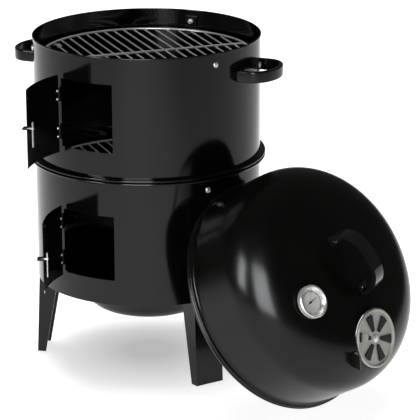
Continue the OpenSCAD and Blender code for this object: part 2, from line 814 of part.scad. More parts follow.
// A turning disc with a raised rim, petal holes and a thumb tab bent up beside one of them
module vent_disc() {
    color("#a3a197") lid_frame() at_vent() translate([0, 0, vent_lift]) {
        difference() {
            union() {
                cylinder(h = vent_t, r = vent_r, $fn = 120);
                rotate_extrude($fn = 120) polygon([[vent_r - 5, vent_t - eps], [vent_r, vent_t - eps],
                    [vent_r, vent_rim_h - 1.2], [vent_r - 1.2, vent_rim_h],
                    [vent_r - 3, vent_rim_h], [vent_r - 4.2, vent_rim_h - 1]]);
            }
            petal_holes(12);
            translate([0, 0, -1]) cylinder(h = 4, r = 2.65, $fn = 32);
        }
        rotate([0, 0, tab_a]) translate([tab_r, 0, vent_t / 2]) rotate([0, -90, 0])
            linear_extrude(height = vent_t)
                polygon([[0, -8], [tab_h, -5.5], [tab_h, 5.5], [0, 8]]);
    }
}

module vent_rivet() {
    color("#c6c5bd") lid_frame() at_vent() {
        translate([0, 0, -3]) cylinder(h = 3 + vent_t + 0.8, r = vent_rivet_r, $fn = 32);
        translate([0, 0, vent_lift + vent_t + 0.25]) rotate_extrude($fn = 40)
            polygon([[0, 0], [vent_rivet_head_r, 0], [vent_rivet_head_r - 0.4, 1.2],
                [4.5, 2.3], [0, 2.8]]);
        translate([0, 0, -lid_t - 1.8]) cylinder(h = 1.7, r = 5, $fn = 40);
    }
}

// Thermometer ----------------------------------------------------------------

module thermometer_case() {
    color("#b9b9b4") lid_frame() at_gauge() difference() {
        union() {
            translate([0, 0, 0.5]) cylinder(h = 5.2, r = dial_r + 3, $fn = 96);
            translate([0, 0, -26]) cylinder(h = 27, r = 4.4, $fn = 48);
            translate([0, 0, probe_tip]) cylinder(h = -probe_tip - 25, r = probe_r, $fn = 32);
        }
        translate([0, 0, 2]) cylinder(h = 10, r = dial_r + 1, $fn = 96);
    }
}

// A wide conical bezel that rises from the dial to its outer lip
module thermometer_bezel() {
    color("#cfcfca") lid_frame() at_gauge() rotate_extrude($fn = 120)
        polygon([[dial_r + 3.05, 2.6], [gauge_r - 2.5, 2.6], [gauge_r, 5], [gauge_r, gauge_h - 1.2],
            [gauge_r - 1.2, gauge_h], [gauge_r - 3.2, gauge_h], [gauge_r - 4.4, gauge_h - 1.5],
            [dial_r + 1.2, 7.2], [dial_r - 1, 6.9], [dial_r - 1, 5.8], [dial_r + 3.05, 5.8]]);
}

module thermometer_dial() {
    color("#d8d6cf") lid_frame() at_gauge() translate([0, 0, 2.05]) difference() {
        cylinder(h = 1, r = dial_r + 0.6, $fn = 96);
        translate([0, 0, -1]) cylinder(h = 3, r = 1.1, $fn = 32);
    }
}

module thermometer_needle() {
    color("#2b2b2b") lid_frame() at_gauge() rotate([0, 0, needle_a]) {
        translate([0, 0, 2.4]) cylinder(h = 1.9, r = 1.05, $fn = 32);
        translate([0, 0, 3.5]) cylinder(h = 0.9, r = 2, $fn = 32);
        translate([0, 0, 3.6]) linear_extrude(height = 0.6)
            polygon([[-5, -0.9], [dial_r - 4, -0.4], [dial_r - 3, 0], [dial_r - 4, 0.4], [-5, 0.9]]);
    }
}

module thermometer_lens() {
    color("#dfe7ea", 0.35) lid_frame() at_gauge() translate([0, 0, 4.7])
        cylinder(h = 1, r = dial_r + 0.9, $fn = 96);
}

module thermometer_nut() {
    color("#b5b5b0") lid_frame() at_gauge() translate([0, 0, -9]) difference() {
        cylinder(h = 5, r = 8, $fn = 6);
        translate([0, 0, -1]) cylinder(h = 7, r = 4.45, $fn = 48);
    }
}

lower_section();
locating_collar();
leg_left();
leg_right();
leg_back();
lower_bracket_left();
lower_bracket_right();
lower_bracket_back();
fire_brackets();
lower_bolts();
lower_nuts();
lower_hinge_fixed();
lower_hinge_pins();
upper_section();
handle_left();
handle_right();
upper_bracket_left();
upper_bracket_right();
upper_bracket_back();
upper_bolts();
upper_nuts();
upper_hinge_fixed();
upper_hinge_pins();
upper_door();
upper_hinge_moving();
upper_door_rivets();
upper_latch_shaft();
upper_latch_knob();
upper_latch_plate();
lower_door();
lower_hinge_moving();
lower_door_rivets();
lower_latch_shaft();
lower_latch_knob();
lower_latch_plate();
upper_grate();
lower_grate();
water_pan();
charcoal_pan();
lid();
lid_handle();
lid_handle_bolts();
lid_handle_nuts();
lid_hook();
vent_disc();
vent_rivet();
thermometer_case();
thermometer_bezel();
thermometer_dial();
thermometer_needle();
thermometer_lens();
thermometer_nut();
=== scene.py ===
"""Looks for a vertical water smoker.

Two black barrel sections stand on three legs with their doors open, and the lid leans beside them.
Metres, +Z up, origin on the floor under the barrel's axis. The doors face -Y.
"""

import json
import math

import bmesh
import bpy
from mathutils import Matrix, Vector


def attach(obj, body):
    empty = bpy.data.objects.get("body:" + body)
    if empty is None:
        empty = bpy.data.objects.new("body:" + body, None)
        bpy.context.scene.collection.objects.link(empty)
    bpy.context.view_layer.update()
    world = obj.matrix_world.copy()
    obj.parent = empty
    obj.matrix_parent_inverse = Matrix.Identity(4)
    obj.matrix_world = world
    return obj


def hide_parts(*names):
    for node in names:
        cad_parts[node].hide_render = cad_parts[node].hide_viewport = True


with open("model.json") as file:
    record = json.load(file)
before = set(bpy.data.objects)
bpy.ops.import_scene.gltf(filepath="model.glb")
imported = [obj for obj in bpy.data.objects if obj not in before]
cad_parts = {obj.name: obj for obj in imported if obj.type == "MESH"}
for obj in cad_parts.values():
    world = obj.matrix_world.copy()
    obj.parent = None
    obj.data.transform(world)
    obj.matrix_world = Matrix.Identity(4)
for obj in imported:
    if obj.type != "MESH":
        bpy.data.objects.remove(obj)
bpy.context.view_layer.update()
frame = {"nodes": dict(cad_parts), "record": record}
NODES = frame["nodes"]
SLOT_OF = {s["node"]: s["material_slot"] for s in frame["record"]["subparts"]}
BODY_OF = {n: b for b, names in frame["record"]["behaviour"]["bodies"].items() for n in names}


# Camera ---------------------------------------------------------------------

# The camera stands to the right of the doors and looks down a little at the barrel's middle.
CAMERA_SIDE = math.radians(32.4)
CAMERA_RANGE = 3.9424
CAMERA_HEIGHT = 1.4924
CAMERA_YAW = math.radians(1.6037)
CAMERA_PITCH = math.radians(17.2826)
CAMERA_ROLL = math.radians(-0.2039)
CAMERA_LENS = 196.6
CAMERA_CLIP = 60.0
SENSOR = 36.0


def make_camera():
    """A long lens at the viewing angle; yaw and roll turn about the camera's own up and view axes."""
    data = bpy.data.cameras.new("camera")
    data.lens = CAMERA_LENS
    data.sensor_width = SENSOR
    data.sensor_fit = "HORIZONTAL"
    data.clip_end = CAMERA_CLIP
    data.dof.use_dof = False
    cam = bpy.data.objects.new("camera", data)
    bpy.context.scene.collection.objects.link(cam)
    place = Vector((math.sin(CAMERA_SIDE), -math.cos(CAMERA_SIDE), 0)) * CAMERA_RANGE
    place.z = CAMERA_HEIGHT
    heading = CAMERA_SIDE - CAMERA_YAW
    aim = (
        Matrix.Rotation(heading, 4, "Z")
        @ Matrix.Rotation(math.pi / 2 - CAMERA_PITCH, 4, "X")
        @ Matrix.Rotation(CAMERA_ROLL, 4, "Z")
    )
    cam.matrix_world = Matrix.Translation(place) @ aim
    bpy.context.scene.camera = cam


# Materials ------------------------------------------------------------------

FULL = (0.0, 1.0)
MIDDLE = (0.3, 0.7)  # the part of a noise's range that is stretched to a full change
FINE = 0.0002  # depth of the finest bumps

# Each kind of unevenness is a noise: its scale, detail and roughness.
PATCHES, TARNISH, CAST_CLOUDS = (7.0, 4.0, 0.6), (40.0, 4.0, 0.6), (50.0, 4.0, 0.6)
DUST, WEAR, SHEEN, PEEL = (260.0, 2.0, 0.7), (60.0,), (24.0,), (700.0, 2.0)
GRAIN, CAST_SHEEN, CAST_GRAIN = (300.0, 3.0, 0.6), (260.0,), (420.0,)
DIAL_CLOUDS, GLASS_TINT, GLASS_SMEAR, PAPER = (120.0,), (60.0,), (200.0,), (3.0,)

# Dust shows only at the highest peaks of its noise, and wear only along edges, in patches.
PATCH_SPAN, DUST_SPAN, WEAR_SPAN = (0.35, 0.65), (0.68, 0.8), (0.45, 0.7)
DUST_AMOUNT, WEAR_AMOUNT = 0.35, 0.1
EDGE_RADIUS, EDGE_SAMPLES, EDGE_TURN = 0.0015, 4, (0.98, 0.75)
WORN_EDGE = (0.10, 0.098, 0.095)


class Mat:
    """A principled material and short ways to add procedural nodes to it."""

    def __init__(self, name, roughness=0.4, metallic=0.0, specular=0.5):
        self.mat = bpy.data.materials.new(name)
        self.mat.use_nodes = True
        self.tree = self.mat.node_tree
        self.bsdf = self.tree.nodes["Principled BSDF"]
        self.bsdf.inputs["Roughness"].default_value = roughness
        self.bsdf.inputs["Metallic"].default_value = metallic
        self.bsdf.inputs["Specular IOR Level"].default_value = specular
        self.coords = self.tree.nodes.new("ShaderNodeTexCoord").outputs["Object"]

    def feed(self, socket, value):
        """Links an output to a socket, or sets the socket's own value."""
        if hasattr(value, "is_output"):
            self.tree.links.new(value, socket)
        else:
            socket.default_value = value

    def node(self, kind, **inputs):
        n = self.tree.nodes.new(kind)
        for key, value in inputs.items():
            self.feed(n.inputs[key.replace("_", " ")], value)
        return n

    def noise(self, scale, detail=3.0, rough=0.55):
        settings = {"Scale": scale, "Detail": detail, "Roughness": rough}
        return self.node("ShaderNodeTexNoise", Vector=self.coords, **settings).outputs["Fac"]

    def spread(self, value, span, to_low, to_high):
        """Maps value from the two ends of span to to_low and to_high, clamped."""
        ends = {"From_Min": span[0], "From_Max": span[1], "To_Min": to_low, "To_Max": to_high}
        return self.node("ShaderNodeMapRange", Value=value, **ends).outputs["Result"]

    def mix(self, factor, a, b):
        """The colour a where factor is 0, and b where it is 1."""
        n = self.tree.nodes.new("ShaderNodeMix")
        n.data_type = "RGBA"
        self.feed(n.inputs[0], factor)
        for socket, colour in ((n.inputs[6], a), (n.inputs[7], b)):
            self.feed(socket, colour if hasattr(colour, "is_output") else (*colour, 1))
        return n.outputs[2]

    def product(self, a, b):
        n = self.tree.nodes.new("ShaderNodeMath")
        n.operation = "MULTIPLY"
        self.feed(n.inputs[0], a)
        self.feed(n.inputs[1], b)
        return n.outputs[0]

    def measure(self, operation, *vectors):
        """The length of one vector, or the dot product of two."""
        n = self.tree.nodes.new("ShaderNodeVectorMath")
        n.operation = operation
        for socket, vector in zip(n.inputs, vectors):
            self.feed(socket, vector)
        return n.outputs["Value"]

    def set(self, **sockets):
        """Links outputs to the shader's sockets."""
        for key, value in sockets.items():
            self.tree.links.new(value, self.bsdf.inputs[key.replace("_", " ")])
        return self

    def bump(self, height, strength):
        b = self.node("ShaderNodeBump", Height=height, Strength=strength, Distance=FINE)
        return self.set(Normal=b.outputs["Normal"])

    def edges(self):
        """Bright along convex edges, from the angle between a rounded and the true normal."""
        bevel = self.node("ShaderNodeBevel", Radius=EDGE_RADIUS)
        bevel.samples = EDGE_SAMPLES
        geometry = self.tree.nodes.new("ShaderNodeNewGeometry")
        facing = self.measure("DOT_PRODUCT", bevel.outputs["Normal"], geometry.outputs["Normal"])
        return self.spread(facing, EDGE_TURN, *FULL)


def grey(value):
    """A grey of one value; a colour stays as it is."""
    return value if isinstance(value, tuple) else (value, value, value)


def paint(name, dark, light, rough=(0.10, 0.15), gloss=0.28, peel=0.05, gloss_by_height=None):
    """Glossy stoved black paint: fine orange peel, faint dust and slightly worn edges.

    gloss_by_height is a span of heights and the gloss at its two ends."""
    dark, light = grey(dark), grey(light)
    m = Mat(name, specular=gloss)
    base = m.mix(m.spread(m.noise(*PATCHES), PATCH_SPAN, *FULL), dark, light)
    dust = tuple(c * 2.0 + 0.004 for c in light)
    dusty = m.mix(m.spread(m.noise(*DUST), DUST_SPAN, 0.0, DUST_AMOUNT), base, dust)
    worn = m.product(m.edges(), m.spread(m.noise(*WEAR), WEAR_SPAN, 0.0, WEAR_AMOUNT))
    m.set(Base_Color=m.mix(worn, dusty, WORN_EDGE))
    m.set(Roughness=m.spread(m.noise(*SHEEN), MIDDLE, *rough))
    if gloss_by_height:
        height = m.node("ShaderNodeSeparateXYZ", Vector=m.coords).outputs["Z"]
        m.set(Specular_IOR_Level=m.spread(height, *gloss_by_height))
    return m.bump(m.noise(*PEEL), peel).mat


def metal(name, dark, light, rough, metallic):
    """Bare or plated metal with a fine grain and cloudy tarnish."""
    m = Mat(name, metallic=metallic)
    grain = m.noise(*GRAIN)
    m.set(Base_Color=m.mix(m.spread(m.noise(*TARNISH), MIDDLE, *FULL), dark, light))
    m.set(Roughness=m.spread(grain, MIDDLE, *rough))
    return m.bump(grain, 0.08).mat


def cast_metal(name, dark, light):
    """Dull satin aluminium that scatters most of its light."""
    m = Mat(name, metallic=0.35)
    m.set(Base_Color=m.mix(m.spread(m.noise(*CAST_CLOUDS), MIDDLE, *FULL), dark, light))
    m.set(Roughness=m.spread(m.noise(*CAST_SHEEN), MIDDLE, 0.42, 0.55))
    return m.bump(m.noise(*CAST_GRAIN), 0.1).mat


def dial_face():
    """A plain pale metal dial, faintly cloudy."""
    m = Mat("dial_face", roughness=0.4, metallic=0.2)
    cloud = m.spread(m.noise(*DIAL_CLOUDS), MIDDLE, *FULL)
    m.set(Base_Color=m.mix(cloud, (0.74, 0.66, 0.64), (0.88, 0.84, 0.81)))
    return m.mat


def lens_glass():
    """Clear glass, smeared a little."""
    m = Mat("lens_glass", roughness=0.03)
    m.bsdf.inputs["Transmission Weight"].default_value = 1.0
    m.bsdf.inputs["IOR"].default_value = 1.45
    tint = m.spread(m.noise(*GLASS_TINT), MIDDLE, *FULL)
    m.set(Base_Color=m.mix(tint, (0.94, 0.96, 0.96), (0.98, 0.99, 0.99)))
    m.set(Roughness=m.spread(m.noise(*GLASS_SMEAR), MIDDLE, 0.01, 0.06))
    return m.mat


# The paint of the pans is dull where it is shut inside the barrel, and glossy below its base.
PAN_GLOSS = ((0.15, 0.24), 0.34, 0.05)

MATERIALS = {
    "barrel_paint": paint("barrel_paint", 0.0020, (0.0034, 0.0034, 0.0035)),
    "leg_paint": paint("leg_paint", 0.0022, 0.0038, (0.14, 0.22)),
    "handle_paint": paint("handle_paint", 0.0035, 0.0060),
    "bracket_paint": paint("bracket_paint", 0.0028, 0.0045, (0.18, 0.26)),
    "hinge_paint": paint("hinge_paint", 0.0040, 0.0070, (0.25, 0.36)),
    "lid_enamel": paint(
        "lid_enamel",
        (0.0026, 0.0026, 0.0021),
        (0.0040, 0.0039, 0.0032),
        (0.20, 0.26),
        gloss=0.23,
        peel=0.03,
    ),
    "lid_fitting_paint": paint(
        "lid_fitting_paint", (0.0060, 0.0060, 0.0055), (0.0100, 0.0100, 0.0090), gloss=0.6
    ),
    "pan_enamel": paint("pan_enamel", 0.0030, 0.0050, (0.16, 0.24), gloss_by_height=PAN_GLOSS),
    "chrome_wire": metal("chrome_wire", (0.50, 0.51, 0.50), (0.64, 0.65, 0.64), (0.26, 0.36), 0.5),
    "zinc": metal("zinc", (0.66, 0.66, 0.64), (0.82, 0.82, 0.80), (0.25, 0.38), 0.5),
    "knob_black": paint("knob_black", 0.0060, 0.0100, (0.3, 0.42)),
    "vent_aluminium": cast_metal("vent_aluminium", (0.40, 0.395, 0.36), (0.48, 0.47, 0.43)),
    "gauge_steel": metal("gauge_steel", (0.62, 0.62, 0.60), (0.76, 0.76, 0.74), (0.24, 0.34), 0.55),
    "dial_face": dial_face(),
    "needle_paint": paint("needle_paint", 0.010, 0.016, (0.3, 0.42)),
    "lens_glass": lens_glass(),
}


def dress_cad_nodes():
    """Gives each node of the frame the procedural material of its slot."""
    for name, obj in NODES.items():
        obj.data.materials.clear()
        obj.data.materials.append(MATERIALS[SLOT_OF[name]])


# Mesh tools -----------------------------------------------------------------

# Shapes are drawn in millimetres, and placed by matrices in metres.
MM = 0.001
WELD = 1e-6
SHARP, SHARP_ON_LID = 40.0, 30.0


def turn(axis, degrees):
    return Matrix.Rotation(math.radians(degrees), 4, axis)


def shift(x, y, z):
    return Matrix.Translation((x * MM, y * MM, z * MM))


def arc(cx, cy, r, a0, a1, n):
    """Points on a circle from a0 to a1 degrees."""
    steps = [math.radians(a0 + (a1 - a0) * i / n) for i in range(n + 1)]
    return [(cx + r * math.cos(a), cy + r * math.sin(a)) for a in steps]


def circle(r, n):
    return arc(0, 0, r, 0, 360, n)[:-1]


def spaced(a, b, step):
    """Values from a to b, no further apart than step."""
    n = max(1, math.ceil(abs(b - a) / step))
    return [a + (b - a) * i / n for i in range(n + 1)]


def ring(turns):
    """Angles all round, in degrees."""
    return [360.0 * i / turns for i in range(turns)]


def smooth(mesh, sharp):
    """Smooth shading, except along edges sharper than an angle in degrees."""
    for p in mesh.polygons:
        p.use_smooth = True
    mesh.set_sharp_from_angle(angle=math.radians(sharp))


def solid(name, verts, faces, place=None):
    """A new object with welded points and normals that face outward."""
    mesh = bpy.data.meshes.new(name)
    mesh.from_pydata([Vector(v) * MM for v in verts], [], faces)
    if place is not None:
        mesh.transform(place)
    bm = bmesh.new()
    bm.from_mesh(mesh)
    bmesh.ops.remove_doubles(bm, verts=bm.verts, dist=WELD)
    bmesh.ops.recalc_face_normals(bm, faces=bm.faces)
    bm.to_mesh(mesh)
    bm.free()
    obj = bpy.data.objects.new(name, mesh)
    bpy.context.scene.collection.objects.link(obj)
    return obj


def piece(name, verts, faces, nodes, place=None, sharp=SHARP):
    """A new mesh that stands for one or more CAD nodes and rides with their body."""
    obj = solid(name, verts, faces, place)
    smooth(obj.data, sharp)
    slot = SLOT_OF[nodes[0]]
    obj.data.materials.append(MATERIALS[slot])
    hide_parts(*nodes)
    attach(obj, BODY_OF[nodes[0]])
    return obj


def turned_sheet(outer, inner, angles, closed, hole=None):
    """Verts and faces of a sheet turned about Z.

    outer and inner are profiles of (r, z) with equal counts. Angles count from -Y towards +X.
    hole is the (first, last) columns and (first, last) rows between which the sheet is left open."""
    rows, cols = len(outer), len(angles)
    verts = []
    for profile in (outer, inner):
        for a in angles:
            s, c = math.sin(math.radians(a)), math.cos(math.radians(a))
            verts += [(r * s, -r * c, z) for r, z in profile]

    def at(side, i, j):
        return (side * cols + i % cols) * rows + j

    def gone(i, j):
        return hole and hole[0][0] <= i < hole[0][1] and hole[1][0] <= j < hole[1][1]

    def up_wall(i, first, last):
        """The cut edge of the sheet along a column."""
        return [(at(0, i, j), at(0, i, j + 1), at(1, i, j + 1), at(1, i, j)) for j in range(first, last)]

    faces = []
    spans = range(cols if closed else cols - 1)
    for i in spans:
        for j in range(rows - 1):
            if gone(i, j):
                continue
            faces.append((at(0, i, j), at(0, i + 1, j), at(0, i + 1, j + 1), at(0, i, j + 1)))
            faces.append((at(1, i, j), at(1, i, j + 1), at(1, i + 1, j + 1), at(1, i + 1, j)))
        for j in (0, rows - 1):
            faces.append((at(0, i, j), at(1, i, j), at(1, i + 1, j), at(0, i + 1, j)))
    if not closed:
        for i in (0, cols - 1):
            faces += up_wall(i, 0, rows - 1)
    if hole:
        (i0, i1), (j0, j1) = hole
        for i in (i0, i1):
            faces += up_wall(i, j0, j1)
        for j in (j0, j1):
            faces += [(at(0, i, j), at(0, i + 1, j), at(1, i + 1, j), at(1, i, j)) for i in range(i0, i1)]
    return verts, faces


def tube(path, radius, sides, closed=False):
    """Verts and faces of a round wire along a path of points."""
    verts, faces = [], []
    count = len(path)
    for k, p in enumerate(path):
        a = path[(k - 1) % count] if closed or k else path[k]
        b = path[(k + 1) % count] if closed or k < count - 1 else path[k]
        ahead = (Vector(b) - Vector(a)).normalized()
        side = ahead.cross(Vector((0, 0, 1))).normalized()
        up = side.cross(ahead)
        for m in range(sides):
            t = 2 * math.pi * m / sides
            verts.append(tuple(Vector(p) + (side * math.cos(t) + up * math.sin(t)) * radius))
    for k in range(count if closed else count - 1):
        n = (k + 1) % count
        for m in range(sides):
            q = (m + 1) % sides
            faces.append((k * sides + m, k * sides + q, n * sides + q, n * sides + m))
    if not closed:
        faces += [tuple(range(sides)), tuple(range((count - 1) * sides, count * sides))]
    return verts, faces


def joined(*meshes):
    """Several (verts, faces) pairs as one."""
    verts, faces = [], []
    for v, f in meshes:
        faces += [tuple(i + len(verts) for i in face) for face in f]
        verts += v
    return verts, faces


def moved(mesh, place):
    """(verts, faces) with a placement in metres applied to millimetre points."""
    verts, faces = mesh
    return [tuple((place @ (Vector(v) * MM)) / MM) for v in verts], faces


def swept(path, normals, section):
    """A closed section of (outward, up) points carried along a level path; ends are closed."""
    n = len(section)
    verts = []
    for (x, y), (nx, ny) in zip(path, normals):
        verts += [(x + nx * d, y + ny * d, h) for d, h in section]
    faces = [tuple(range(n)), tuple(range(len(verts) - n, len(verts)))]
    for k in range(len(path) - 1):
        for m in range(n):
            q = (m + 1) % n
            faces.append((k * n + m, k * n + q, (k + 1) * n + q, (k + 1) * n + m))
    return verts, faces


def prism(outline, z0, z1):
    """An outline raised from z0 to z1."""
    n = len(outline)
    verts = [(x, y, z0) for x, y in outline] + [(x, y, z1) for x, y in outline]
    faces = [tuple(range(n)), tuple(range(n, 2 * n))]
    faces += [(k, (k + 1) % n, n + (k + 1) % n, n + k) for k in range(n)]
    return verts, faces


def carve(obj, cutter):
    """Cuts one object out of another, bakes the result and drops the cutter."""
    m = obj.modifiers.new("cut", "BOOLEAN")
    m.operation = "DIFFERENCE"
    m.solver = "EXACT"
    m.object = cutter
    baked = bpy.data.meshes.new_from_object(obj.evaluated_get(bpy.context.evaluated_depsgraph_get()))
    obj.modifiers.clear()
    obj.data = baked
    smooth(baked, SHARP_ON_LID)
    bpy.data.objects.remove(cutter)


# Barrel ---------------------------------------------------------------------

WALL, INSIDE = 200.0, 198.8
BASE_Z, JOINT_Z, TOP_Z = 154.0, 378.0, 594.0
LOWER_OPENING, UPPER_OPENING = (198.5, 313.5), (426.5, 546.5)
OPENING_HALF = math.degrees(math.asin(51.8 / WALL))
COLUMN_STEP, ROW_STEP = 1.5, 12.0

# Each section's bead where they meet: a roll whose outer edge is at BEAD, and the bend at its foot.
BEAD, BEAD_R, BEAD_MID = 209.55, 2.4, 2.8
BEND_OUT, BEND_R, BEND_AT = 2.0, 0.4, 5.2
BEAD_SWEEP, BEAD_TIP = 82.0, INSIDE + 1.0
BEAD_FOOT, BEAD_GAP, INSIDE_GAP = 5.6, 0.16, 0.2

# The rolled rim at the barrel's top.
RIM, RIM_R, RIM_DROP, RIM_FOOT, RIM_SWEEP = 199.95, 1.6, 1.8, 3.6, (-50, 120)
RIM_TIP, RIM_TIP_DROP, RIM_INSIDE_DROP = INSIDE + 0.3, 0.6, 1.0
BEND_STEPS, BEAD_STEPS, RIM_STEPS = 3, 14, 12


def barrel_section(name, outer, inner, opening):
    """outer and inner are profiles from bottom to top, with a point at each edge of the opening."""
    front = spaced(-OPENING_HALF, OPENING_HALF, COLUMN_STEP)
    rest = spaced(OPENING_HALF, 360 - OPENING_HALF, COLUMN_STEP)[1:-1]
    heights = [round(z, 3) for r, z in outer]
    hole = ((0, len(front) - 1), tuple(heights.index(z) for z in opening))
    piece(name + "_sheet", *turned_sheet(outer, inner, front + rest, True, hole), [name])


def straight(stops):
    """The wall's outside as (r, z) points through every stop."""
    zs = [stops[0]]
    for a, b in zip(stops, stops[1:]):
        zs += [round(z, 3) for z in spaced(a, b, ROW_STEP)[1:]]
    return [(WALL, z) for z in zs]


def behind(low, high, count, first=0):
    """Points up the wall's inside, one behind each point of a bead or rim."""
    return [(INSIDE, low + (high - low) * (k + first) / count) for k in range(count)]


def make_lower_section():
    wall = straight([BASE_Z, *LOWER_OPENING, JOINT_Z - BEAD_FOOT])
    bead = arc(WALL + BEND_OUT, JOINT_Z - BEND_AT, BEND_R, 180, 90, BEND_STEPS)[1:]
    bead += arc(BEAD - BEAD_R, JOINT_Z - BEAD_MID, BEAD_R, -90, BEAD_SWEEP, BEAD_STEPS)
    bead += [(BEAD_TIP, JOINT_Z - BEAD_GAP)]
    outer = wall + [(r, min(z, JOINT_Z - BEAD_GAP)) for r, z in bead]
    inner = [(INSIDE, z) for r, z in wall]
    inner += behind(JOINT_Z - BEAD_FOOT, JOINT_Z - INSIDE_GAP, len(bead), 1)
    barrel_section("lower_section", outer, inner, LOWER_OPENING)


def make_upper_section():
    bead = [(BEAD_TIP, JOINT_Z + BEAD_GAP)]
    bead += arc(BEAD - BEAD_R, JOINT_Z + BEAD_MID, BEAD_R, -BEAD_SWEEP, 90, BEAD_STEPS)
    bead += arc(WALL + BEND_OUT, JOINT_Z + BEND_AT, BEND_R, -90, -180, BEND_STEPS)
    bead = [(r, max(z, JOINT_Z + BEAD_GAP)) for r, z in bead]
    wall = straight([JOINT_Z + BEAD_FOOT, *UPPER_OPENING, TOP_Z - RIM_FOOT])
    rim = arc(RIM, TOP_Z - RIM_DROP, RIM_R, *RIM_SWEEP, RIM_STEPS) + [(RIM_TIP, TOP_Z - RIM_TIP_DROP)]
    inner = behind(JOINT_Z + INSIDE_GAP, JOINT_Z + BEAD_FOOT - INSIDE_GAP, len(bead))
    inner += [(INSIDE, z) for r, z in wall]
    inner += behind(TOP_Z - RIM_FOOT + INSIDE_GAP, TOP_Z - RIM_INSIDE_DROP, len(rim))
    barrel_section("upper_section", bead + wall + rim, inner, UPPER_OPENING)


# Doors ----------------------------------------------------------------------

PIN_ANGLE, PIN_RING = math.radians(-15.8), 203.4
DOOR_IN, DOOR_OUT, DOOR_FROM, DOOR_TO = 200.4, 201.4, -14.85, 18.2
DOOR_EDGE, DOOR_COLUMN, DOOR_ROW = 0.35, 1.0, 6.0

# Each door's middle height, its own height, and how far it stands open.
DOORS = {"upper_door": (485.0, 137.0, 84.8), "lower_door": (257.0, 127.0, 73.5)}


def swung(degrees):
    """A turn about the hinge pins."""
    x, y = PIN_RING * math.sin(PIN_ANGLE), -PIN_RING * math.cos(PIN_ANGLE)
    return shift(x, y, 0) @ turn("Z", -degrees) @ shift(-x, -y, 0)


def make_door(name, middle, height, degrees):
    """A curved panel with softly rounded edges."""
    zs = spaced(middle - height / 2, middle + height / 2, DOOR_ROW)
    flat = [zs[0] + DOOR_EDGE] + zs[1:-1] + [zs[-1] - DOOR_EDGE]
    eased = DOOR_OUT - DOOR_EDGE
    outer = [(eased, zs[0])] + [(DOOR_OUT, z) for z in flat] + [(eased, zs[-1])]
    inner = [(DOOR_IN, z) for r, z in outer]
    mesh = turned_sheet(outer, inner, spaced(DOOR_FROM, DOOR_TO, DOOR_COLUMN), False)
    piece(name + "_panel", *mesh, [name], swung(degrees))


# Pans -----------------------------------------------------------------------

PAN_T, PAN_COLUMNS, CORNER_STEPS = 1.0, 180, 16
LIP_EASE, LIP_BEND, LIP_BEND_DROP, INNER_BEND_DROP = 0.3, 1.2, 0.8, 0.9
AXIS_R = 0.01  # a profile's last point, just off the axis

# z is the rim's height; top and low are the wall's outside at its top and at the bottom's corner.
PANS = {
    "water_pan": {"z": 331.3, "depth": 66.0, "top": 168.0, "low": 148.0, "rim": 7.5, "corner": 22.0},
    "charcoal_pan": {"z": 194.3, "depth": 100.0, "top": 165.0, "low": 118.6, "rim": 24.2, "corner": 37.0},
}


def pan_profile(z, depth, top, low, rim, corner):
    """Outer and inner profiles of a pressed pan, from the rim's edge to the middle of the bottom."""
    t, edge, eased = PAN_T, top + rim, top + rim - LIP_EASE
    slope = math.degrees(math.atan((top - low) / depth))
    middle = (low - corner, z + corner - depth)
    outer = [(edge, z - t * (1 - LIP_EASE)), (eased, z - t)]
    outer += [(top + LIP_BEND, z - t), (top, z - t - LIP_BEND_DROP)]
    outer += arc(*middle, corner, -slope, -90, CORNER_STEPS) + [(AXIS_R, z - depth)]
    inner = [(edge, z - t * LIP_EASE), (eased, z)]
    inner += [(top + LIP_BEND - t, z), (top - t, z - INNER_BEND_DROP)]
    inner += arc(*middle, corner - t, -slope, -90, CORNER_STEPS) + [(AXIS_R, z - depth + t)]
    return outer, inner


def make_pans():
    for name, sizes in PANS.items():
        mesh = turned_sheet(*pan_profile(**sizes), ring(PAN_COLUMNS), True)
        piece(name + "_pressed", *mesh, [name])


# Grates ---------------------------------------------------------------------

GRATE_R, WIRE_R, BAR_R, CROSS_R, BAR_PITCH, BAR_TURN = 184.0, 2.0, 1.5, 2.2, 18.6, 50.9
BAR_SUNK, BAR_PAST, HOOP_STEPS = 0.5, 0.6, 160
WIRE_SIDES, BAR_SIDES, WELD_SIDES = 14, 12, 8
WELD_R, WELD_HALF, WELD_ENDS_Z, WELD_Z, WELD_BACK = 1.3, 1.6, -1.8, -1.7, 1.0
GRATES = {"upper_grate": 558.7, "lower_grate": 350.7}


def make_grate(name, z):
    """Ring, cross wire and parallel bars, with small weld beads where the bars meet the wires."""
    turns = [math.radians(a) for a in ring(HOOP_STEPS)]
    hoop = [(GRATE_R * math.cos(t), GRATE_R * math.sin(t), 0) for t in turns]
    across = [(-GRATE_R, 0, 0), (0, 0, 0), (GRATE_R, 0, 0)]
    parts = [tube(hoop, WIRE_R, WIRE_SIDES, closed=True), tube(across, CROSS_R, WIRE_SIDES)]
    count = int(GRATE_R // BAR_PITCH)
    drop = WIRE_R + BAR_R - BAR_SUNK
    for i in range(-count, count + 1):
        x = i * BAR_PITCH
        half = math.sqrt(GRATE_R ** 2 - x * x) + BAR_PAST
        parts.append(tube([(x, -half, -drop), (x, 0, -drop), (x, half, -drop)], BAR_R, BAR_SIDES))
        for y in (-half + WELD_BACK, 0.0, half - WELD_BACK):
            ends = [(x, y - WELD_HALF, WELD_ENDS_Z), (x, y, WELD_Z), (x, y + WELD_HALF, WELD_ENDS_Z)]
            parts.append(tube(ends, WELD_R, WELD_SIDES))
    piece(name + "_wires", *joined(*parts), [name], shift(0, 0, z) @ turn("Z", BAR_TURN))


# Handles --------------------------------------------------------------------

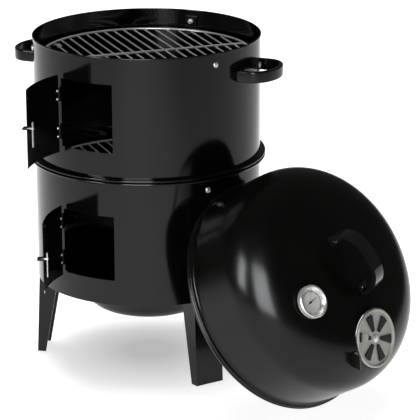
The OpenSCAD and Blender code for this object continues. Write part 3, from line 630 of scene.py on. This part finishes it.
STRAP_H, STRAP_D, STRAP_T, STRAP_CORNER = 20.0, 7.0, 1.6, 2.2
HANDLE_Z, GRIP_STRAIGHT, GRIP_REACH = 544.0, 15.0, 51.9
FOOT_FROM, FOOT_TO, FOOT_END = 9.4, 15.8, 0.25
FOOT_IN, FOOT_OUT, FOOT_EASE, FOOT_STEP = 0.1, 1.7, 0.3, 0.6
LEG_SHORT, LEG_STEP, BOW_STEPS = 0.9, 5.0, 24
OUTER_CORNER_STEPS, INNER_CORNER_STEPS = 5, 3
HANDLES = {"handle_left": -82.0, "handle_right": 98.0}


def strap_section():
    """A channel whose flanges point inward, as (outward, up) points with rounded outer corners."""
    h, r, t = STRAP_H / 2, STRAP_CORNER, STRAP_T
    outside = arc(-r, -h + r, r, -90, 0, OUTER_CORNER_STEPS)
    outside += arc(-r, h - r, r, 0, 90, OUTER_CORNER_STEPS)
    inside = arc(-r, h - r, r - t, 90, 0, INNER_CORNER_STEPS)
    inside += arc(-r, -h + r, r - t, 0, -90, INNER_CORNER_STEPS)
    lips = [(-STRAP_D, h), (-STRAP_D, h - t)]
    return [(-STRAP_D, -h)] + outside + lips + inside + [(-STRAP_D, -h + t)]


def bow_path(half, sink):
    """Half of an oval on two short straight legs that start behind the wall, with its outward normals."""
    right = [(half, y) for y in spaced(-sink, GRIP_STRAIGHT, LEG_STEP)[:-1]]
    normals = [(1.0, 0.0)] * len(right)
    bulge = GRIP_REACH - GRIP_STRAIGHT
    for k in range(BOW_STEPS + 1):
        a = math.radians(90.0 * k / BOW_STEPS)
        right.append((half * math.cos(a), GRIP_STRAIGHT + bulge * math.sin(a)))
        normals.append(tuple(Vector((bulge * math.cos(a), half * math.sin(a))).normalized()))
    left = [(-x, y) for x, y in reversed(right[:-1])]
    return right + left, normals + [(-x, y) for x, y in reversed(normals[:-1])]


def make_side_handle(name, angle):
    """An oval channel bow on the barrel's wall, its two feet turned inward and bolted flat against it."""
    z = HANDLE_Z
    half = WALL * math.sin(math.radians(FOOT_TO))
    sink = WALL - WALL * math.cos(math.radians(FOOT_TO)) - LEG_SHORT
    bow = swept(*bow_path(half, sink), strap_section())
    parts = [moved(bow, turn("Z", angle) @ shift(0, -WALL, z) @ turn("Z", 180))]
    h = STRAP_H / 2 - FOOT_EASE
    face, eased = WALL + FOOT_OUT, WALL + FOOT_OUT - FOOT_EASE
    outer = [(eased, z - h), (face, z - h + FOOT_EASE), (face, z + h - FOOT_EASE), (eased, z + h)]
    inner = [(WALL + FOOT_IN, height) for r, height in outer]
    for side in (-1, 1):
        a, b = sorted((angle + side * FOOT_FROM, angle + side * (FOOT_TO - FOOT_END)))
        parts.append(turned_sheet(outer, inner, spaced(a, b, FOOT_STEP), False))
    piece(name + "_bow", *joined(*parts), [name])


# Lid ------------------------------------------------------------------------

LID_R, LID_SKIRT, LID_CROWN_R, LID_RIM, LID_T = 198.0, 90.5, 1000.0, 203.5, 1.0
LID_SHOULDER = LID_R * 0.415
LID_COLUMNS, SKIRT_STEP, SHOULDER_STEPS, CROWN_STEP = 300, 6.0, 40, 0.35
SHOULDER_X = LID_R - LID_SHOULDER
CROWN_A = math.degrees(math.asin(SHOULDER_X / (LID_CROWN_R - LID_SHOULDER)))
CROWN_C = LID_SKIRT - (LID_CROWN_R - LID_SHOULDER) * math.cos(math.radians(CROWN_A))

# The lid leans LID_TILT from vertical, on its rim's edge; LID_AT is where round the barrel it leans.
LID_TILT, LID_FACE, LID_AT = 30.5, 78.5, 79.4
RIM_UNDER, WALL_TOUCH = 1.6, 0.1

# The two rolls above the lid's edge: how far each middle is inside the rim, its height, radius and sweep.
LID_ROLLS = ((2.0, 2.6, 2.0, -40, 60), (2.2, 8.0, 1.9, -60, 70))
LID_ROLL_STEPS = 6
EDGE_INSET, EDGE_Z, EDGE_SLOPE = 0.9, 0.05, 0.3
DIP_INSET, DIP_Z = 1.9, 5.2
SKIRT_BEND, SKIRT_BEND_Z, SKIRT_FROM = 1.2, 11.4, 13.6

VENT_A, VENT_AT_R, VENT_TILT, VENT_Z, VENT_SEAT_R = -88.2, 130.9, 19.4, 165.8, 51.2
SEAT_SIDES, SEAT_WALL, SEAT_OVERLAP, SEAT_LIP, CUT_REACH = 128, 0.9, 0.4, 1.6, 30.0
SEARCH_REACH, SEARCH_STEPS = 25.0, 30
PETALS, PETAL_HALF, PETAL_IN, PETAL_OUT, PETAL_TURN, PETAL_CUT = 6, 11.5, 13.0, 40.3, 12, 4.0
PETAL_TIP_STEPS, PETAL_ROOT_STEPS = 8, 3


def lid_place():
    t = math.radians(LID_TILT)
    z = LID_RIM * math.cos(t) - RIM_UNDER * math.sin(t)
    distance = WALL - WALL_TOUCH + LID_RIM * math.sin(t)
    leaning = turn("Z", LID_FACE - LID_AT) @ turn("X", 90 - LID_TILT)
    return turn("Z", LID_AT) @ shift(0, -distance, z) @ leaning


def vent_place():
    """The vent's seat on the lid, from the middle of the lid's rim."""
    return turn("Z", VENT_A) @ shift(VENT_AT_R, 0, VENT_Z) @ turn("Y", VENT_TILT)


def lid_profile(d):
    """From the rim up over the double bead, skirt, shoulder and crown, d inside the outer surface."""
    rim, wall = LID_RIM - d, LID_R - d
    low, high = (arc(rim - inset, z, r, a, b, LID_ROLL_STEPS) for inset, z, r, a, b in LID_ROLLS)
    beads = [(rim - EDGE_INSET, EDGE_Z + d * EDGE_SLOPE)] + low + [(rim - DIP_INSET, DIP_Z)] + high
    beads += [(wall + SKIRT_BEND, SKIRT_BEND_Z), (wall, SKIRT_FROM)]
    skirt = [(wall, z) for z in spaced(SKIRT_FROM, LID_SKIRT, SKIRT_STEP)[1:]]
    shoulder = arc(SHOULDER_X, LID_SKIRT, LID_SHOULDER - d, 0, 90 - CROWN_A, SHOULDER_STEPS)[1:]
    crown = []
    for b in spaced(CROWN_A, 0.0, CROWN_STEP)[1:]:
        r = (LID_CROWN_R - d) * math.sin(math.radians(b))
        crown.append((max(r, AXIS_R), CROWN_C + (LID_CROWN_R - d) * math.cos(math.radians(b))))
    return beads + skirt + shoulder + crown


def dome_height(r):
    """Height of the dome's outer surface above the rim at r from its axis."""
    if r < LID_CROWN_R * math.sin(math.radians(CROWN_A)):
        return CROWN_C + math.sqrt(LID_CROWN_R ** 2 - r * r)
    return LID_SKIRT + math.sqrt(max(LID_SHOULDER ** 2 - (r - SHOULDER_X) ** 2, 0.0))


def dome_over(place, x, y):
    """How far the dome's surface is above a point of the vent's seat, by halving the interval."""
    low, high = -SEARCH_REACH, SEARCH_REACH
    for _ in range(SEARCH_STEPS):
        mid = (low + high) / 2
        p = (place @ (Vector((x, y, mid)) * MM)) / MM
        if p.z < dome_height(math.hypot(p.x, p.y)):
            low = mid
        else:
            high = mid
    return low


def petals():
    """The vent's holes, as prisms."""
    shapes = []
    for k in range(PETALS):
        tip = arc(0, 0, PETAL_OUT, -PETAL_HALF, PETAL_HALF, PETAL_TIP_STEPS)
        root = arc(0, 0, PETAL_IN, PETAL_HALF, -PETAL_HALF, PETAL_ROOT_STEPS)
        spin = math.radians(PETAL_TURN + 360 / PETALS * k)
        c, s = math.cos(spin), math.sin(spin)
        outline = [(x * c - y * s, x * s + y * c) for x, y in tip + root]
        shapes.append(prism(outline, -PETAL_CUT, PETAL_CUT))
    return joined(*shapes)


def make_lid():
    """The pressed dome, cut for the vent, with the vent's seat in the cut."""
    dome = turned_sheet(lid_profile(0.0), lid_profile(LID_T), ring(LID_COLUMNS), True)
    lid = piece("lid_dome", *dome, ["lid"], lid_place(), SHARP_ON_LID)
    hole = prism(circle(VENT_SEAT_R, SEAT_SIDES), -CUT_REACH, CUT_REACH)
    carve(lid, solid("vent_cutter", *hole, lid_place() @ vent_place()))
    make_vent_seat()


def make_vent_seat():
    """A wall round the vent's cut that meets the dome, meant to hold a flat disc with petal holes.

    Known fault: the disc overlaps the wall when the petals are cut out of both at once, so the cut
    drops the disc and keeps the petals' prisms. The disc should be cut before it is joined."""
    wall_verts, wall_faces = [], []
    k = 1 - SEAT_WALL / VENT_SEAT_R
    for x, y in circle(VENT_SEAT_R, SEAT_SIDES):
        edge = dome_over(vent_place(), x, y)
        top, bottom = max(edge, 0.0), min(edge, 0.0) - SEAT_LIP
        wall_verts += [(x, y, bottom), (x, y, top), (x * k, y * k, top), (x * k, y * k, bottom)]
    for i in range(SEAT_SIDES):
        a, b = 4 * i, 4 * ((i + 1) % SEAT_SIDES)
        wall_faces += [(a + j, b + j, b + (j + 1) % 4, a + (j + 1) % 4) for j in range(4)]
    plate = prism(circle(VENT_SEAT_R - SEAT_OVERLAP, SEAT_SIDES), -LID_T, 0.0)
    place = lid_place() @ vent_place()
    seat = piece("vent_seat", *joined(plate, (wall_verts, wall_faces)), ["lid"], place, SHARP_ON_LID)
    carve(seat, solid("petal_cutter", *petals(), place))


# Sheet and strip parts ------------------------------------------------------

SOFT_EDGE, SOFT_STEPS = 0.5, 2
SOFT_NODES = (
    "lid_hook",
    "lid_handle",
    "upper_latch_plate",
    "lower_latch_plate",
    "upper_latch_knob",
    "lower_latch_knob",
)


def soften():
    """Rounds the sharp bends and cut edges of the frame's own sheet and strip parts."""
    for name, obj in NODES.items():
        if not (name.startswith("leg_") or "bracket" in name or name in SOFT_NODES):
            continue
        m = obj.modifiers.new("edges", "BEVEL")
        m.width = SOFT_EDGE * MM
        m.segments = SOFT_STEPS
        m.limit_method = "ANGLE"
        m.angle_limit = math.radians(SHARP)
        m.harden_normals = False


# Studio ---------------------------------------------------------------------

FLOOR_HALF, FLOOR_Z, FLOOR_GLOW = 14.0, -0.0008, 0.92
VIEW_RIGHT = Vector((math.cos(CAMERA_SIDE), math.sin(CAMERA_SIDE), 0))

# The floor's glow fades beyond each side of the picture, a painted shade, and under the smoker, a painted
# shadow: where, and what is left.
RIGHT_FADE, RIGHT_LEFT_OVER = (0.46, 1.3), 0.45
LEFT_FADE, LEFT_LEFT_OVER = (-0.9, -1.9), 0.7
SHADE, SHADE_LEFT_OVER = (0.04, 0.26), 0.5

WORLD_COLOUR, WORLD_STRENGTH = (0.97, 0.98, 1.0, 1), 0.07
COOL = (0.95, 0.98, 1.0)


def around(angle, distance, height):
    """A place round the barrel, its angle counted from -Y towards +X."""
    a = math.radians(angle)
    return (distance * math.sin(a), -distance * math.cos(a), height)


OVERHEAD = {"place": (-0.6, 1.0, 5.0), "target": (0.0, 0.1, 0.0), "size": (3.6, 3.6), "radiance": 5.0}
STRIPS = {
    "front_strip": {
        "place": around(22, 3.0, 1.45),
        "target": (0.1, 0, 0.5),
        "size": (1.5, 2.2),
        "radiance": 14.0,
    },
    "left_box": {
        "place": around(-20, 3.0, 1.55),
        "target": (0.1, 0, 0.3),
        "size": (0.85, 1.6),
        "radiance": 15.0,
    },
}


def make_floor():
    """White paper that glows as if lit from below and behind; its glow fades beyond the sides of the
    picture, a painted shade, and under the smoker, a painted shadow.
    """
    mesh = bpy.data.meshes.new("floor")
    h = FLOOR_HALF
    mesh.from_pydata([(-h, -h, 0), (h, -h, 0), (h, h, 0), (-h, h, 0)], [], [(0, 1, 2, 3)])
    floor = bpy.data.objects.new("floor", mesh)
    floor.location.z = FLOOR_Z
    bpy.context.scene.collection.objects.link(floor)
    m = Mat("floor_paper", roughness=0.7, specular=0.1)
    m.set(Base_Color=m.mix(m.spread(m.noise(*PAPER), MIDDLE, *FULL), grey(0.80), grey(0.82)))
    across = m.measure("DOT_PRODUCT", m.coords, VIEW_RIGHT)
    # Painted shade: the glow dims beyond each side of the picture.
    right = m.spread(across, RIGHT_FADE, FLOOR_GLOW, FLOOR_GLOW * RIGHT_LEFT_OVER)
    left = m.spread(across, LEFT_FADE, 1.0, LEFT_LEFT_OVER)
    # Painted shadow: the glow is dimmed round the middle, under the smoker.
    under = m.spread(m.measure("LENGTH", m.coords), SHADE, SHADE_LEFT_OVER, 1.0)
    m.bsdf.inputs["Emission Color"].default_value = (1, 1, 1, 1)
    m.set(Emission_Strength=m.product(m.product(right, left), under))
    mesh.materials.append(m.mat)


def area_light(name, place, target, size, radiance, colour=(1, 1, 1)):
    """A softbox of the given radiance, which the camera doesn't see."""
    data = bpy.data.lights.new(name, "AREA")
    data.shape = "RECTANGLE"
    data.size, data.size_y = size
    data.energy = radiance * math.pi * size[0] * size[1]
    data.color = colour
    obj = bpy.data.objects.new(name, data)
    bpy.context.scene.collection.objects.link(obj)
    aim = (Vector(target) - Vector(place)).to_track_quat("-Z", "Y")
    obj.matrix_world = Matrix.Translation(place) @ aim.to_matrix().to_4x4()
    obj.visible_camera = False
    return obj


def make_lights():
    """A dim room, a softbox overhead that lights, and two in front that only show as reflections."""
    world = bpy.data.worlds.new("studio")
    world.use_nodes = True
    background = world.node_tree.nodes["Background"]
    background.inputs["Color"].default_value = WORLD_COLOUR
    background.inputs["Strength"].default_value = WORLD_STRENGTH
    bpy.context.scene.world = world
    overhead = area_light("overhead", **OVERHEAD)
    overhead.visible_glossy = False
    for name, settings in STRIPS.items():
        strip = area_light(name, **settings, colour=COOL)
        strip.visible_diffuse = False
    bpy.context.scene.view_settings.view_transform = "Standard"


dress_cad_nodes()
make_lower_section()
make_upper_section()
for door, sizes in DOORS.items():
    make_door(door, *sizes)
make_pans()
for grate, height in GRATES.items():
    make_grate(grate, height)
for handle, side in HANDLES.items():
    make_side_handle(handle, side)
make_lid()
soften()
make_floor()
make_lights()
make_camera()
